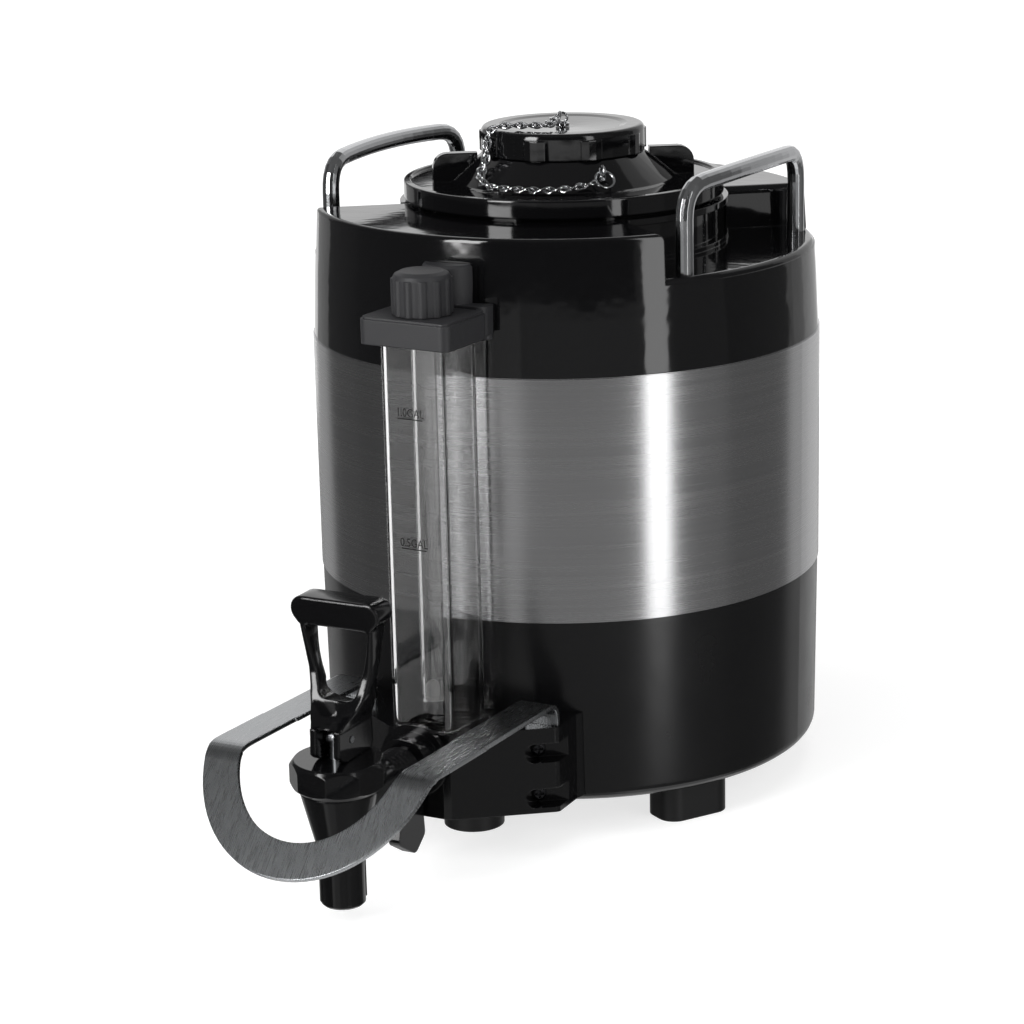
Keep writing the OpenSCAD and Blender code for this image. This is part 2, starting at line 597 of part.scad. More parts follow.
module faucet_bonnet() {
    rc = bonnet_d/2;
    color("#1a1a1b") translate([0, fy, 0]) difference() {
        intersection() {
            translate([0, 0, bon_z0 + 0.3]) rotate([0, 0, 5]) cylinder(r = rc, h = bon_z1 - bon_z0 - 0.3, $fn = 9);
            rotate_extrude() polygon([[0, bon_z0], [bon_c, bon_z0], [rc + 0.2, bon_z0 + 3.5],
                [rc + 0.2, bon_z1 - 3.1], [rc - 1.7, bon_z1 - 0.5], [rc - 2.2, bon_z1], [0, bon_z1]]);
        }
        translate([0, 0, bon_z0]) cylinder(r = neck_f + fit, h = 7.6);
        translate([0, 0, bon_z0]) cylinder(r = cup_r, h = 9.5);
        translate([0, 0, bon_z0]) cylinder(r = 3.5 + fit, h = 20);
    }
}
pin_z = bon_z1 + 9;
module faucet_stem() {
    color("#6e7074") translate([0, fy, 0]) difference() {
        union() {
            translate([0, 0, seat_z + 2]) cylinder(r = 3.5, h = pin_z - seat_z - 2);
            translate([0, 0, pin_z]) rod_x(3.5, -3.5, 3.5);
            translate([0, 0, seat_z + 12.3]) cylinder(r = 7.6, h = 1.6);   // spring flange
            translate([0, 0, seat_z + 3]) cylinder(r = 5, h = 3);
        }
        translate([0, 0, pin_z]) rod_x(1.6 + fit, -8, 8);
    }
}
module seat_cup() {
    color("#d9d6cf") translate([0, fy, 0]) difference() {
        rotate_extrude() polygon([[0, seat_z + 0.1], [8.4, seat_z + 0.1], [9, seat_z + 1.2], [8.8, seat_z + 7],
            [6.5, seat_z + 12], [0, seat_z + 12]]);
        translate([0, 0, seat_z + 2 - fit]) cylinder(r = 3.5 + fit, h = 20);
        translate([0, 0, seat_z + 3 - fit]) cylinder(r = 5 + fit, h = 3 + 2*fit);
    }
}
module stem_spring() {
    z0 = seat_z + 13.9 + 0.65; z1 = bon_z0 + 9.5 - 0.65; turns = 5.5; m = 76;
    color("#b4b7bb") translate([0, fy, 0])
        sweep([for (i = [0:m]) let (s = i/m, e = 0.09, q = s < e ? 0 : s > 1 - e ? 1 : (s - e)/(1 - 2*e))
            [5.4*cos(360*turns*s), 5.4*sin(360*turns*s), z0 + (z1 - z0)*q]], 0.55, 6);
}
// lever: the foot's front is an involute of a circle of radius cam_rise, so the stem's rise
// is proportional to the lever's angle
function cam(a) = let (h = 9 - 0.15 + cam_rise*a*PI/180)
    [-h*sin(a) - cam_rise*cos(a), -h*cos(a) + cam_rise*sin(a)];
module lever_outline() {       // front view, origin at the pin
    w = lever_w/2; b = 5.4;
    difference() {
        union() {
            translate([-w + b, lever_h - 2*b]) square([2*w - 2*b, 2*b]);
            for (s = [-1, 1]) translate([s*(w - b), lever_h - b]) circle(r = b, $fn = 32);
            polygon([for (s = [1, -1]) let (q = [[7.1, 2], [7.3, 14], [9.3, 21.5], [12.3, 30], [14.8, 38], [16.6, 46],
                [17.4, lever_h - 9], [17.6, lever_h - 5]]) each [for (i = [0:7]) let (v = q[s > 0 ? i : 7 - i]) [s*v[0], v[1]]]]);
        }
        // finger window: round at its foot, wide under the bar
        polygon(concat(arc(0, 23.3, 6.6, -165, -15, 8), [[7.8, 29], [9.7, 37], [11.2, 43.6]],
            arc(9, lever_h - 2*b - 4.2, 2.3, -10, 90, 3), arc(-9, lever_h - 2*b - 4.2, 2.3, 90, 190, 3),
            [[-11.2, 43.6], [-9.7, 37], [-7.8, 29]]));
    }
}
module faucet_lever() {
    color("#141415") translate([0, fy, pin_z]) difference() {
        union() {
            rotate([-lever_lean, 0, 0]) rotate([90, 0, 0]) translate([0, 0, -lever_t/2 - 1.5]) linear_extrude(lever_t) lever_outline();
            // cam foot
            rotate([90, 0, 90]) translate([0, 0, -7.1]) linear_extrude(14.2) polygon(concat(
                [[16, -9 + 0.15]], [for (a = [0:5:50]) cam(a)],
                [[-10.3, 2], [-9, 7], [-5.4, 13], [-2, 15.4], [7, 15.4], [11, 12], [17.5, 2], [18, -6]]));
            translate([0, 0, 8.2]) rod_y(1.7, -9.4, -4, $fn = 32);
        }
        // slot for the stem
        translate([-4.3, -30, -20]) cube([8.6, 60, 24]);
        rod_x(1.6 + fit, -20, 20);
    }
}
module lever_pin() {
    color("#9b9ea2") translate([0, fy, pin_z]) rod_x(1.6, -7.5, 7.5);
}

// ---------------------------------------------------------------- sight gauge
br_z0 = z_up + 19.8;           // underside of the bracket
br_z1 = br_z0 + 12;
fit_z = blk_z1 + 10.4;         // top of the lower fitting
module gauge_bracket() {
    color("#2b2b2d") difference() {
        union() {
            translate([0, gauge_y, br_z0]) rotate([0, 0, gauge_turn]) pad(45.5, 34.5, br_z1 - br_z0 - 1, 4);
            translate([0, gauge_y, br_z1 - 1.6]) rotate([0, 0, gauge_turn]) pad(43.5, 32.5, 1.6, 3);
            // flange and boss against the collar
            translate([0, -R + 1.2, br_z0]) pad(43, 12, br_z1 - br_z0 + 1, 4);
            translate([0, -R + 5.2, br_z0 - 2.5]) pad(42.6, 12, 5, 3.8);
            translate([0, -R + 5.4, br_z0 + 0.6]) cylinder(r = 12.3, h = br_z1 - br_z0 + 16.4);
            translate([0, -R + 5.4, br_z1 + 17]) cylinder(r1 = 12.3, r2 = 11.3, h = 1);
        }
        collar_outer(0.1);
        translate([0, 0, z_up - lip_h]) cylinder(r = cl_bot - 2, h = 60);
        translate([0, gauge_y, br_z0 - 1]) cylinder(r = glass_r + fit, h = 7);
        translate([0, gauge_y, br_z0 + 2]) cylinder(r = 7 + fit, h = 20);
    }
}
module gauge_shield() {
    w = shield_w; h = br_z0 - blk_z1 - 0.2;
    color([0.85, 0.88, 0.9, 0.35]) translate([0.8, gauge_y + 2.4, blk_z1 + 0.1]) rotate([0, 0, gauge_turn]) difference() {
        pad(w, w, h, 4.5);
        translate([0, 0, -1]) pad(w - 2*shield_t, w - 2*shield_t, h + 2, 4.5 - shield_t);
    }
}
module gauge_glass() {
    color([0.8, 0.84, 0.87, 0.35]) translate([0, gauge_y, 0]) ring(glass_r, glass_r - 1.5, fit_z + eps, br_z0 + 5);
}
module gauge_seal() {
    r = glass_r - 1.5 - fit;
    color("#dcdad5") translate([0, gauge_y, fit_z + 2*eps]) rotate_extrude($fn = 48)
        polygon(concat([[1.2, 0], [r, 0], [r, 1.5], [r - 0.5, 2], [r - 0.5, 5.5]], arc(r - 3.1, 6.2, 2.6, 10, 80, 4), [[1.2, 9]]));
}
module gauge_fitting() {
    color("#232325") translate([0, gauge_y, 0]) difference() {
        union() {
            translate([0, 0, blk_z1 + eps]) cylinder(r = glass_r + 1.2, h = 1.6);
            translate([0, 0, blk_z1 + 1]) cylinder(r = glass_r + 0.1, h = fit_z - blk_z1 - 1);
            translate([0, 0, shank_z + shank_r - 0.4]) cylinder(r = 5, h = blk_z1 - shank_z - shank_r + 1);
        }
        translate([0, 0, shank_z]) cylinder(r = 2.5, h = 60);
        translate([0, -gauge_y, shank_z]) rod_y(shank_r + fit, gauge_y - 12, gauge_y + 12);
    }
}
module gauge_knob() {
    color("#232325") translate([0, gauge_y, 0]) difference() {
        union() {
            translate([0, 0, br_z1 + 0.2]) cylinder(r = knob_r - 0.8, h = knob_h - 3);
            translate([0, 0, br_z1 + knob_h - 2.8]) cylinder(r1 = knob_r - 0.8, r2 = knob_r - 1.6, h = 1.6);
            translate([0, 0, br_z1 + knob_h - 1.2]) cylinder(r1 = knob_r - 1.6, r2 = knob_r - 4, h = 1.2);
            for (a = [0:30:359]) rotate([0, 0, a]) translate([knob_r - 2.4, 0, br_z1 + 0.2])
                cylinder(r = 2.4, h = knob_h - 3.2, $fn = 24);
            translate([0, 0, br_z0 + 2.2]) cylinder(r = 7, h = br_z1 - br_z0);
        }
        translate([0, 0, br_z0]) cylinder(r = glass_r + fit, h = 5.4);
    }
}

// ---------------------------------------------------------------- lid
z_seat = z_lip + 2.2;          // lid's seat on the mouth gasket
z_fl0 = z_top + 1.3;
z_fl1 = z_fl0 + lid_t;
z_ann = z_fl1 - 1.4;           // annulus inside the flange's rim
z_cone = z_ann + cone_h;
z_nk = z_cone + cap_h - 6.6;   // top of the lid's neck
skirt_r = mouth_r - 0.7;
cone_r0 = 52.5;
nk_r = cap_r - 4.7 - 0.6;
module lid_gasket() {
    color("#6a6c6f") ring(mouth_r - 0.2, skirt_r - 1, z_lip - 7.4, z_lip - 3);
}
module fill_funnel() {
    z1 = z_cone + 2; z0 = z_lip - 10;
    color("#39393b") difference() {
        union() {
            translate([0, 0, z0]) cylinder(r1 = 7, r2 = 24.6, h = z1 - z0);
            translate([0, 0, z1 - eps]) cylinder(r = 27.6, h = 1.9);
            translate([0, 0, z0 - tube_l]) cylinder(r = 7, h = tube_l + 1);
        }
        translate([0, 0, z0 + 1]) cylinder(r1 = 5, r2 = 23.4, h = z1 - z0 - 1 + eps);
        translate([0, 0, z1 - 2*eps]) cylinder(r = 23.4, h = 3);
        translate([0, 0, z0 - tube_l - 1]) cylinder(r = 5, h = tube_l + 4);
    }
}
module lid_body() {
    color("#131314") difference() {
        union() {
            rotate_extrude($fn = 150) polygon(concat(
                [[skirt_r, z_lip - 10], [skirt_r, z_lip - 7.5], [skirt_r - 1 - fit, z_lip - 7.5],
                 [skirt_r - 1 - fit, z_lip - 2.9], [skirt_r, z_lip - 2.9], [skirt_r, z_seat], [bore_r - 0.6, z_seat],
                 [bore_r - 0.6, z_fl0], [lid_r - 0.8, z_fl0]],
                arc(lid_r - 0.8, z_fl0 + 0.8, 0.8, -60, 0, 2), arc(lid_r - 0.8, z_fl1 - 0.9, 0.8, 0, 90, 4),
                [[lid_r - 3, z_fl1], [lid_r - 3.6, z_ann + 0.3], [cone_r0 + 1, z_ann], [cone_r0 - 0.6, z_ann + 0.6],
                 [38, z_cone], [nk_r, z_cone], [nk_r, z_nk], [28, z_nk], [28, z_cone + 1.9], [25, z_cone + 1.9],
                 [25, z_cone - 2.4], [33, z_cone - 3.4], [cone_r0 - 4, z_ann - 3], [skirt_r - 3.4, z_ann - 3],
                 [skirt_r - 3.4, z_lip - 10]]));
            // upright grips on opposite sides
            for (a = [0, 180]) rotate([0, 0, grip_a + a]) translate([0, 3, 0]) rotate([90, 0, 0]) linear_extrude(6)
                polygon(concat([[cap_r + 2.2, z_ann - 1]], [[61.4, z_ann - 1]], arc(61.4 - 7, z_cone + 0.8 - 7, 7, 0, 90, 6),
                    [[cap_r + 2.2, z_cone + 0.8]]));
        }
    }
}
// chain anchor on the cone
eye_a = -42;
eye_r = 47;
eye_z = z_ann + (cone_r0 - eye_r)*cone_h/(cone_r0 - 38);
module at_eye() { rotate([0, 0, eye_a]) translate([eye_r, 0, eye_z]) children(); }
module lid_eyelet() {
    color("#c9ccd0") at_eye() difference() {
        union() {
            translate([0, 0, 0.2]) cylinder(r = 1.7, h = 2.4);
            translate([0, 0, 4.4]) rotate([90, 0, 0]) torus(2.4, 0.7, 32);
        }
        rotate([0, atan2(cone_h, cone_r0 - 38), 0]) translate([-6, -6, -5.9]) cube([12, 12, 6]);
    }
}
module split_ring() {
    color("#d3d5d9") at_eye() translate([4.4*cos(50), 0, 4.4 - 4.4*sin(50)]) rotate([0, 50, 0]) torus(4.4, 0.6, 40);
}

// ---------------------------------------------------------------- cap and chain
z_cap0 = z_cone + 0.6;
z_cap1 = z_cap0 + cap_h;
cap_in = cap_r - 4.7;
module fill_cap() {
    color("#121213") difference() {
        union() {
            rotate_extrude($fn = 120) polygon(concat([[cap_r, z_cap0], [cap_r, z_cap1 - 2.4]],
                arc(cap_r - 2.3, z_cap1 - 2.2, 2.2, 5, 90, 5), [[cap_r - 8, z_cap1], [cap_r - 11, z_cap1 - 0.6],
                [6, z_cap1 - 1.5], [1.5 + fit, z_cap1 - 1.5], [1.5 + fit, z_cap1 - 4.4], [cap_in, z_cap1 - 4.4],
                [cap_in, z_cap0]]));
            // grip ribs
            for (i = [0:cap_ribs - 1]) rotate([0, 0, 26 - 90 + (i + 0.5)*360/cap_ribs])
                translate([cap_r, 0, z_cap0]) linear_extrude(cap_h - 3.1)
                    polygon([[-2, -6], [0.1, -5], [0.8, -3.4], [1.3, -1.8], [1.3, 1.8], [0.8, 3.4], [0.1, 5], [-2, 6]]);
        }
    }
}
module cap_gasket() {
    color("#77797c") ring(cap_in - 0.1, 28.5, z_cap1 - 4.4 - 2, z_cap1 - 4.4 - eps);
}
module cap_stud() {
    color("#c9ccd0") {
        translate([0, 0, z_cap1 - 7]) cylinder(r = 1.5, h = 8);
        translate([0, 0, z_cap1 - 6.6]) cylinder(r = 3.4, h = 2);
        translate([0, 0, z_cap1 - 1.2]) cylinder(r = 3.2, h = 1.2);
        translate([0, 0, z_cap1]) cylinder(r1 = 3.2, r2 = 1.6, h = 0.9);
        translate([0, 0, z_cap1 + 2.6]) rotate([90, 0, 30]) torus(2.2, 0.6, 32);
    }
}
cr = 1.6;                      // half width of the chain
chain_pts = [for (v = [
    [3.2, -100, 0, 3.4], [8, -92, 0, 0.4], [14, -84, 0, 0], [20, -90, 0, 0.1], [26, -103, 0, 0.4],
    [32, -112, 0, 0.7], [37, -117, 0, 0.5], [40.3, -119, 0, -1], [41.6, -119.6, 0, -3.8], [42.2, -119.6, 0, -8],
    [43, -119, 0, -13], [45, -117.6, 0, -17]])
    [v[0]*cos(v[1]), v[0]*sin(v[1]), z_cap1 + cr + 0.15 + v[3]]];
chain_low = [for (v = [[49, -115, 5], [52, -110.6, 2.6], [54.4, -105, 1], [55, -99, 0.6], [55, -92, 0.6],
    [55, -85, 0.6], [55, -78, 0.6], [55, -71, 0.7], [54.8, -64, 1], [54, -57, 1.8], [53, -52.4, 2.6], [52.4, -49.4, 3]])
    [v[0]*cos(v[1]), v[0]*sin(v[1]), z_ann + cr + 0.4 + v[2]]];
function smooth(p) = concat([p[0]], [for (i = [0:len(p) - 2]) each [0.75*p[i] + 0.25*p[i + 1],
    0.25*p[i] + 0.75*p[i + 1]]], [p[len(p) - 1]]);
module cap_chain() {
    color("#c4c7cb") sweep(smooth(concat(chain_pts, chain_low)), cr, 8);
}

module place() { translate([0, shift_y, 0]) children(); }

place() base_housing();
place() base_plate();
place() plate_screws();
place() body_band();
place() top_collar();
place() vessel_liner();
place() vessel_jacket();
place() mouth_gasket();
place() handle_right();
place() handle_left();
place() handle_nuts();
place() foot_right();
place() foot_left();
place() foot_rear();
place() foot_front();
place() faucet_block();
place() block_screws();
place() cup_guard();
place() outlet_pipe();
place() faucet_shank();
place() shank_washer();
place() shank_nut();
place() faucet_body();
place() faucet_bonnet();
place() faucet_stem();
place() seat_cup();
place() stem_spring();
place() faucet_lever();
place() lever_pin();
place() gauge_bracket();
place() gauge_shield();
place() gauge_glass();
place() gauge_seal();
place() gauge_fitting();
place() gauge_knob();
place() lid_gasket();
place() fill_funnel();
place() lid_body();
place() lid_eyelet();
place() split_ring();
place() cap_chain();
place() cap_stud();
place() fill_cap();
place() cap_gasket();
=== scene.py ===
import math
import bpy
import numpy as np
from mathutils import Matrix


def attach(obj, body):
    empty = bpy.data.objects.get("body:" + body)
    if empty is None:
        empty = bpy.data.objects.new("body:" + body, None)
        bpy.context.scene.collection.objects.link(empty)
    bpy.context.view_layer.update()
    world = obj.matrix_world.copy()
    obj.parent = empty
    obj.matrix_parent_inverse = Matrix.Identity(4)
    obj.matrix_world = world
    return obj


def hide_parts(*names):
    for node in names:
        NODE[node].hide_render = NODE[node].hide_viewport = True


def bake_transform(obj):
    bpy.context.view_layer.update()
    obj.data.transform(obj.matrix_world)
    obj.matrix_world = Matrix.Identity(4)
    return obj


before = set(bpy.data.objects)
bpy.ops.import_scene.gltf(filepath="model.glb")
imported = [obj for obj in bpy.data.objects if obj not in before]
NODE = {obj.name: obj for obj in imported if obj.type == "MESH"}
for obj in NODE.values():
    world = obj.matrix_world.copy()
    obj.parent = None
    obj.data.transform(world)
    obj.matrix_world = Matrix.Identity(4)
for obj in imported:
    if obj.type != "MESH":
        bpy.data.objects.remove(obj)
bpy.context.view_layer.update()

TAU = 2 * math.pi

# Places that the CAD source also names, in metres. The body's axis stands at x = 0, y = AXIS_Y.
AXIS_Y = 0.0805
CAP_TOP = 0.3100                          # top of the screw cap's rim
LID_FACE = 0.2846                         # ring-shaped face of the lid inside its rim
GAUGE_TURN = math.radians(-4)             # turn of the sight gauge about the vertical
SHIELD_MID = (0.0008, AXIS_Y - 0.1386)    # middle of the gauge's square shield
SHIELD_HALF = 0.0160                      # half width of the shield
LEVER_PIN = (0.0, -0.1465, 0.0815)        # middle of the pin on which the lever tilts


# ------------------------------------------------------------------ colours and node helper
def srgb(code):
    """Linear colour of an sRGB hex code: ((c + 0.055) / 1.055) ^ 2.4, or c / 12.92 near black."""
    c = np.array([int(code[i:i + 2], 16) for i in (1, 3, 5)]) / 255
    c = np.where(c <= 0.04045, c / 12.92, ((c + 0.055) / 1.055) ** 2.4)
    return (*[float(v) for v in c], 1.0)


def add(tree, kind, links=None, **settings):
    """Adds a node. settings are its own properties; links maps an input to a socket or a value."""
    node = tree.nodes.new(kind)
    for name, value in settings.items():
        setattr(node, name, value)
    for name, value in (links or {}).items():
        if isinstance(value, bpy.types.NodeSocket):
            tree.links.new(value, node.inputs[name])
        else:
            node.inputs[name].default_value = value
    return node


def new_material(name):
    """An empty material with its output node: the material, its tree and that output."""
    mat = bpy.data.materials.new(name)
    mat.use_nodes = True
    mat.node_tree.nodes.clear()
    return mat, mat.node_tree, add(mat.node_tree, "ShaderNodeOutputMaterial")


def finish_shader(tree, out, **values):
    """Principled shader with its values on its own sockets, joined to the output."""
    shader = add(tree, "ShaderNodeBsdfPrincipled",
                 {name.replace("_", " "): value for name, value in values.items()})
    tree.links.new(shader.outputs[0], out.inputs["Surface"])


def soft_edge(tree, radius):
    """Normal that rounds the sharp edges of a piece by that radius."""
    return add(tree, "ShaderNodeBevel", {"Radius": radius}, samples=6).outputs[0]


def plastic(name, colour, roughness, grain_mm, grain_um, patchy=0.04, edge=0.0005, ior=1.5):
    """Moulded plastic or rubber: a noise of grain_mm between peaks and grain_um high, and a slow
    change of roughness, about 26 mm between peaks, as hands leave on a surface that is touched."""
    mat, tree, out = new_material(name)
    place = add(tree, "ShaderNodeTexCoord").outputs["Object"]
    grain = add(tree, "ShaderNodeTexNoise",
                {"Vector": place, "Scale": 1000 / grain_mm, "Detail": 3.0, "Roughness": 0.6})
    bump = add(tree, "ShaderNodeBump", {"Height": grain.outputs[0], "Distance": grain_um * 1e-6,
                                        "Normal": soft_edge(tree, edge)})
    smear = add(tree, "ShaderNodeTexNoise", {"Vector": place, "Scale": 38.0, "Detail": 4.0})
    rough = add(tree, "ShaderNodeMapRange",
                {"Value": smear.outputs[0], "From Min": 0.3, "From Max": 0.7,
                 "To Min": roughness - patchy, "To Max": roughness + patchy})
    finish_shader(tree, out, Base_Color=srgb(colour), Roughness=rough.outputs[0], IOR=ior,
                  Normal=bump.outputs[0])
    return mat


def metal(name, colour, roughness, spread, scratch, depth_um, edge=0.0004):
    """Bare or plated metal: scratch gives how often its drawn or polished lines repeat along each
    axis, in lines a metre, so a small number is the direction in which the lines run."""
    mat, tree, out = new_material(name)
    place = add(tree, "ShaderNodeTexCoord").outputs["Object"]
    lines = add(tree, "ShaderNodeMapping", {"Vector": place, "Scale": scratch})
    grain = add(tree, "ShaderNodeTexNoise",
                {"Vector": lines.outputs[0], "Scale": 1.0, "Detail": 4.0, "Roughness": 0.7})
    rough = add(tree, "ShaderNodeMapRange",
                {"Value": grain.outputs[0], "From Min": 0.3, "From Max": 0.7,
                 "To Min": roughness - spread, "To Max": roughness + spread})
    bump = add(tree, "ShaderNodeBump", {"Height": grain.outputs[0], "Distance": depth_um * 1e-6,
                                        "Normal": soft_edge(tree, edge)})
    finish_shader(tree, out, Base_Color=srgb(colour), Metallic=1.0, Roughness=rough.outputs[0],
                  Normal=bump.outputs[0])
    return mat


def round_steel():
    """Stainless sheet brushed round a drum. The lines run along the turn: the noise reads the angle
    about the axis coarsely and the height finely, 0.4 mm between lines, drawn that coarse because
    the real 0.1 mm would not show. Broader bands, 2.4 mm apart, lie under them."""
    mat, tree, out = new_material("brushed_stainless_drum")
    place = add(tree, "ShaderNodeTexCoord").outputs["Object"]
    part = add(tree, "ShaderNodeSeparateXYZ", {"Vector": place})
    depth = add(tree, "ShaderNodeMath", {0: part.outputs[1], 1: AXIS_Y}, operation="SUBTRACT")
    turn = add(tree, "ShaderNodeMath", {0: depth.outputs[0], 1: part.outputs[0]},
               operation="ARCTAN2")
    wrap = add(tree, "ShaderNodeCombineXYZ", {"X": turn.outputs[0], "Z": part.outputs[2]})
    fine = add(tree, "ShaderNodeMapping", {"Vector": wrap.outputs[0], "Scale": (1.1, 1.0, 2600.0)})
    lines = add(tree, "ShaderNodeTexNoise",
                {"Vector": fine.outputs[0], "Scale": 1.0, "Detail": 5.0, "Roughness": 0.75})
    broad = add(tree, "ShaderNodeMapping", {"Vector": wrap.outputs[0], "Scale": (0.6, 1.0, 420.0)})
    bands = add(tree, "ShaderNodeTexNoise",
                {"Vector": broad.outputs[0], "Scale": 1.0, "Detail": 2.0})
    both = add(tree, "ShaderNodeMath", {0: lines.outputs[0], 1: bands.outputs[0]}, operation="ADD")
    rough = add(tree, "ShaderNodeMapRange",
                {"Value": both.outputs[0], "From Min": 0.7, "From Max": 1.3,
                 "To Min": 0.24, "To Max": 0.29})
    tone = add(tree, "ShaderNodeMapRange",
               {"Value": both.outputs[0], "From Min": 0.6, "From Max": 1.4,
                "To Min": 0.0, "To Max": 1.0})
    colour = add(tree, "ShaderNodeMix",
                 {"Factor": tone.outputs[0], "A": srgb("#b9b9ba"), "B": srgb("#c6c6c7")},
                 data_type="RGBA")
    bump = add(tree, "ShaderNodeBump", {"Height": lines.outputs[0], "Distance": 1.2e-6})
    tangent = add(tree, "ShaderNodeTangent", direction_type="RADIAL", axis="Z")
    finish_shader(tree, out, Base_Color=colour.outputs[2], Metallic=1.0, Roughness=rough.outputs[0],
                  Anisotropic=0.7, Anisotropic_Rotation=0.25, Tangent=tangent.outputs[0],
                  Normal=bump.outputs[0])
    return mat


def clear(name, colour, ior):
    """Clear moulded plastic or drawn glass, with a slow ripple, 8 mm across and 70 mm along the
    height, that bends what lies behind."""
    mat, tree, out = new_material(name)
    place = add(tree, "ShaderNodeTexCoord").outputs["Object"]
    long = add(tree, "ShaderNodeMapping", {"Vector": place, "Scale": (120.0, 120.0, 14.0)})
    ripple = add(tree, "ShaderNodeTexNoise",
                 {"Vector": long.outputs[0], "Scale": 1.0, "Detail": 1.0})
    bump = add(tree, "ShaderNodeBump", {"Height": ripple.outputs[0], "Distance": 1e-5})
    finish_shader(tree, out, Base_Color=srgb(colour), Roughness=0.0, IOR=ior,
                  Transmission_Weight=1.0, Normal=bump.outputs[0])
    return mat


def print_ink():
    """Black pad-printing ink: a thin flat film with a low sheen."""
    mat, tree, out = new_material("black_pad_print_ink")
    finish_shader(tree, out, Base_Color=srgb("#0c0c0d"), Roughness=0.45)
    return mat


# ------------------------------------------------------------------ finishes
# Injection-moulded ABS from a polished mould: near black, sharp reflections, a trace of flow ripple.
GLOSS = plastic("polished_black_abs", "#070708", 0.07, 34.0, 260.0, patchy=0.015, edge=0.0007,
                ior=1.54)
# Polypropylene with a very fine spark-eroded grain: dark, with a soft wide highlight.
SATIN = plastic("satin_black_polypropylene", "#09090a", 0.24, 0.7, 7.0, edge=0.0006)
# ABS with a coarse spark-eroded grain: charcoal, no sharp reflection.
TEXTURED = plastic("grained_black_abs", "#242426", 0.50, 0.9, 60.0, edge=0.0009)
# Glass-filled nylon, moulded: black with a low sheen and faint sink marks.
NYLON = plastic("black_nylon", "#070708", 0.13, 6.0, 12.0, patchy=0.03)
# The same with well rounded edges, as on a part that a finger pulls: narrow bright outlines.
LEVER = plastic("moulded_lever_nylon", "#060607", 0.10, 9.0, 20.0, patchy=0.03, edge=0.0012)
# Moulded rubber: dull black with soft edges.
RUBBER = plastic("moulded_foot_rubber", "#0a0a0b", 0.48, 0.8, 12.0, edge=0.0012, ior=1.52)
# Moulded silicone, grey in the lid and the cap, milky in the valve and the gauge: dull and waxy.
SEAL = plastic("grey_silicone_seal", "#77797b", 0.45, 1.2, 8.0)
WHITE_SEAL = plastic("milky_silicone", "#a5a5a3", 0.30, 1.2, 8.0, ior=1.41)
# Brushed sheet: one bright upright streak under each lamp, drawn out along the drum's height.
BAND = round_steel()
# Bright drawn rod: clean reflections with slightly soft outlines.
ROD = metal("polished_stainless_rod", "#c3c4c6", 0.17, 0.03, (60.0, 60.0, 60.0), 0.5)
# Strip with a satin belt finish along its arms, lines 0.4 mm apart so that they show.
STRIP = metal("satin_stainless_strip", "#9c9ea0", 0.28, 0.05, (2400.0, 110.0, 110.0), 0.4,
              edge=0.0009)
# Deep-drawn sheet and wire: faint lines 0.7 mm apart round the piece, drawn that coarse to show.
DRAWN = metal("drawn_stainless_sheet", "#b9babc", 0.22, 0.05, (60.0, 60.0, 1500.0), 2.0)
# Zinc plate on steel, bare or passivated black: crystals of about 2 mm that break up the shine.
ZINC = metal("zinc_plated_steel", "#a9abae", 0.30, 0.08, (500.0, 500.0, 500.0), 4.0)
DARK_ZINC = metal("black_zinc_screw", "#3a3a3c", 0.28, 0.08, (500.0, 500.0, 500.0), 4.0)
# Bright nickel on brass wire: the sharpest and palest reflections of all the metals here.
NICKEL = metal("nickel_plated_wire", "#cfd0d2", 0.14, 0.04, (400.0, 400.0, 400.0), 1.0)
# Clear walls of the sight gauge: a moulded square shield round a drawn glass tube.
CLEAR = clear("clear_polycarbonate", "#e4e4e4", 1.52)
GLASS = clear("borosilicate_tube", "#dedede", 1.474)
INK = print_ink()

FINISH = (
    (SATIN, "base_housing base_plate"),
    (GLOSS, "top_collar lid_body fill_cap"),
    (TEXTURED, "gauge_bracket gauge_knob"),
    (NYLON, "faucet_block faucet_shank shank_nut faucet_body faucet_bonnet gauge_fitting fill_funnel"),
    (LEVER, "faucet_lever"),
    (RUBBER, "foot_right foot_left foot_rear foot_front shank_washer"),
    (SEAL, "mouth_gasket lid_gasket cap_gasket"),
    (WHITE_SEAL, "seat_cup gauge_seal"),
    (BAND, "body_band"),
    (ROD, "handle_right handle_left"),
    (STRIP, "cup_guard"),
    (DRAWN, "vessel_liner vessel_jacket outlet_pipe stem_spring"),
    (ZINC, "plate_screws handle_nuts faucet_stem lever_pin"),
    (DARK_ZINC, "block_screws"),
    (NICKEL, "lid_eyelet split_ring cap_stud"),
    (CLEAR, "gauge_shield"),
    (GLASS, "gauge_glass"),
)
for finish, names in FINISH:
    for name in names.split():
        NODE[name].material_slots[0].material = finish


# ------------------------------------------------------------------ mesh helpers
def ring_faces(rows, cols):
    """Quads of a rows by cols grid of points that is closed both ways. A quad's outer side is where
    the way from row to row, crossed with the way from point to point in a row, shows."""
    ring = np.arange(rows * cols).reshape(rows, cols)
    nxt = np.roll(ring, -1, 0)
    return np.stack([ring, nxt, np.roll(nxt, -1, 1), np.roll(ring, -1, 1)], -1).reshape(-1, 4)


def tube_faces(rings, sides):
    """The same for rings of points whose last isn't joined to the first: a tube with open ends."""
    return ring_faces(rings, sides)[:-sides].tolist()


def new_object(name, points, faces, mat):
    """An object in the scene with those points and faces and one material."""
    mesh = bpy.data.meshes.new(name)
    mesh.from_pydata(points, [], faces)
    mesh.materials.append(mat)
    obj = bpy.data.objects.new(name, mesh)
    bpy.context.scene.collection.objects.link(obj)
    return obj


